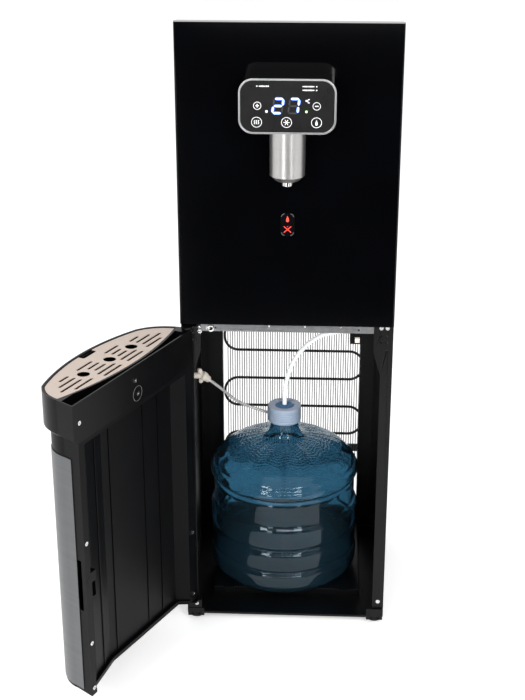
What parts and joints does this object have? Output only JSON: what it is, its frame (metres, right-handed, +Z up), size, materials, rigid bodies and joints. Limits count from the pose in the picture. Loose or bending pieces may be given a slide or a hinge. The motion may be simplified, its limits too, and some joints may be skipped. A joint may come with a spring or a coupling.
{
  "type": "floor-standing water dispenser",
  "caption": "Tall bottom-loading water dispenser with its curved door open on a blue bottle, a drip tray in the door top, a touch display and a metal spout.",
  "frame": {"origin": "floor level, under the middle of the cabinet's footprint", "axes": "+Z up; +X to the right and -Y towards the user, seen from the front"},
  "size_m": [0.5355, 0.6703, 1.068],
  "materials": {
    "black_paint": "matte black powder coat",
    "zinc_steel": "plain galvanised sheet",
    "black_wire": "black enamelled wire and tube",
    "gloss_black": "piano black",
    "matte_black": "fine texture",
    "white_plastic": "off-white moulded",
    "smoked_window": "polished, dark",
    "silver_trim": "thin bright rim",
    "satin_steel": "satin",
    "bright_steel": "plated",
    "circuit_board": "green laminate",
    "compressor_black": "semi-gloss shell on rubber feet",
    "tank_steel": "stainless",
    "copper_tube": "drawn copper tube",
    "foam": "rigid white foam",
    "pump_plastic": "glass-filled moulding",
    "clear_hose": "clear soft tube",
    "white_hose": "milky soft tube",
    "bush_plastic": "acetal",
    "grille_beige": "satin rose-beige plate",
    "blue_bottle": "clear blue polycarbonate",
    "cap_plastic": "pale blue-grey",
    "seal_blue": "soft blue",
    "rubber": "black",
    "dip_plastic": "natural polythene"
  },
  "bodies": {
    "cabinet": {"base_pan": "black_paint", "bottle_platform": "black_paint", "cabinet_screws": "bright_steel", "cold_tank": "tank_steel", "cold_tank_foam": "foam", "compressor": "compressor_black", "condenser_brackets": "zinc_steel", "condenser_coil": "black_wire", "condenser_wires": "black_wire", "display_bezel": "silver_trim", "display_board": "circuit_board", "display_housing": "gloss_black", "display_lens": "smoked_window", "door_switch": "matte_black", "drain_spigot": "matte_black", "evaporator_coil": "copper_tube", "foot_brackets": "black_paint", "front_crossbar": "zinc_steel", "front_fascia": "gloss_black", "heater_band": "tank_steel", "hinge_bottom": "black_paint", "hinge_top": "black_paint", "hose_elbows": "white_plastic", "hot_tank": "tank_steel", "indicator_window": "smoked_window", "inner_brackets": "zinc_steel", "internal_hoses": "clear_hose", "levelling_feet": "rubber", "mid_deck": "black_paint", "power_board": "circuit_board", "power_inlet": "matte_black", "rear_frame": "black_paint", "rear_panel": "black_paint", "refrigerant_lines": "copper_tube", "side_panel_left": "black_paint", "side_panel_right": "black_paint", "spout_body": "satin_steel", "spout_nozzle": "bright_steel", "supply_hose": "white_hose", "switch_frames": "matte_black", "top_cover": "matte_black", "valve_block": "pump_plastic", "vent_hose": "clear_hose", "water_pump": "pump_plastic"},
    "door": {"door_housing": "matte_black", "door_liner": "matte_black", "door_skin": "satin_steel", "hinge_bushes": "bush_plastic", "door_screws": "bright_steel"},
    "drip_basin": {"drip_basin": "matte_black"},
    "drip_grille": {"drip_grille": "grille_beige"},
    "switch_plunger": {"door_switch_plunger": "white_plastic"},
    "heat_key": {"rocker_heat": "matte_black"},
    "cool_key": {"rocker_cool": "matte_black"},
    "drain_plug": {"drain_cap": "matte_black"},
    "water_bottle": {"bottle": "blue_bottle", "bottle_cap": "cap_plastic", "cap_seal": "seal_blue", "dip_tube": "dip_plastic"}
  },
  "joints": [
    {"name": "door_hinge", "type": "hinge", "parent": "cabinet", "child": "door", "pos_m": [-0.164, -0.17, 0.3], "axis": [0, 0, -1], "range_deg": [-115.5, 4.5]},
    {"name": "bottle_slide", "type": "slide", "parent": "cabinet", "child": "water_bottle", "axis": [0, -1, 0], "range_m": [0, 0.3]},
    {"name": "tray_lift", "type": "slide", "parent": "door", "child": "drip_basin", "axis": [0, 0, 1], "range_m": [0, 0.07]},
    {"name": "grille_lift", "type": "slide", "parent": "drip_basin", "child": "drip_grille", "axis": [0, 0, 1], "range_m": [0, 0.05]},
    {"name": "switch_press", "type": "slide", "parent": "cabinet", "child": "switch_plunger", "axis": [0, 1, 0], "range_m": [0, 0.003], "stiffness_N_per_m": 150, "springref_m": -0.002},
    {"name": "heat_rock", "type": "hinge", "parent": "cabinet", "child": "heat_key", "pos_m": [-0.07, 0.17, 0.65], "axis": [0, 0, 1], "range_deg": [-8, 8]},
    {"name": "cool_rock", "type": "hinge", "parent": "cabinet", "child": "cool_key", "pos_m": [-0.07, 0.17, 0.695], "axis": [0, 0, 1], "range_deg": [-8, 8]},
    {"name": "drain_cap_pull", "type": "slide", "parent": "cabinet", "child": "drain_plug", "axis": [0, 1, 0], "range_m": [0, 0.03]}
  ]
}
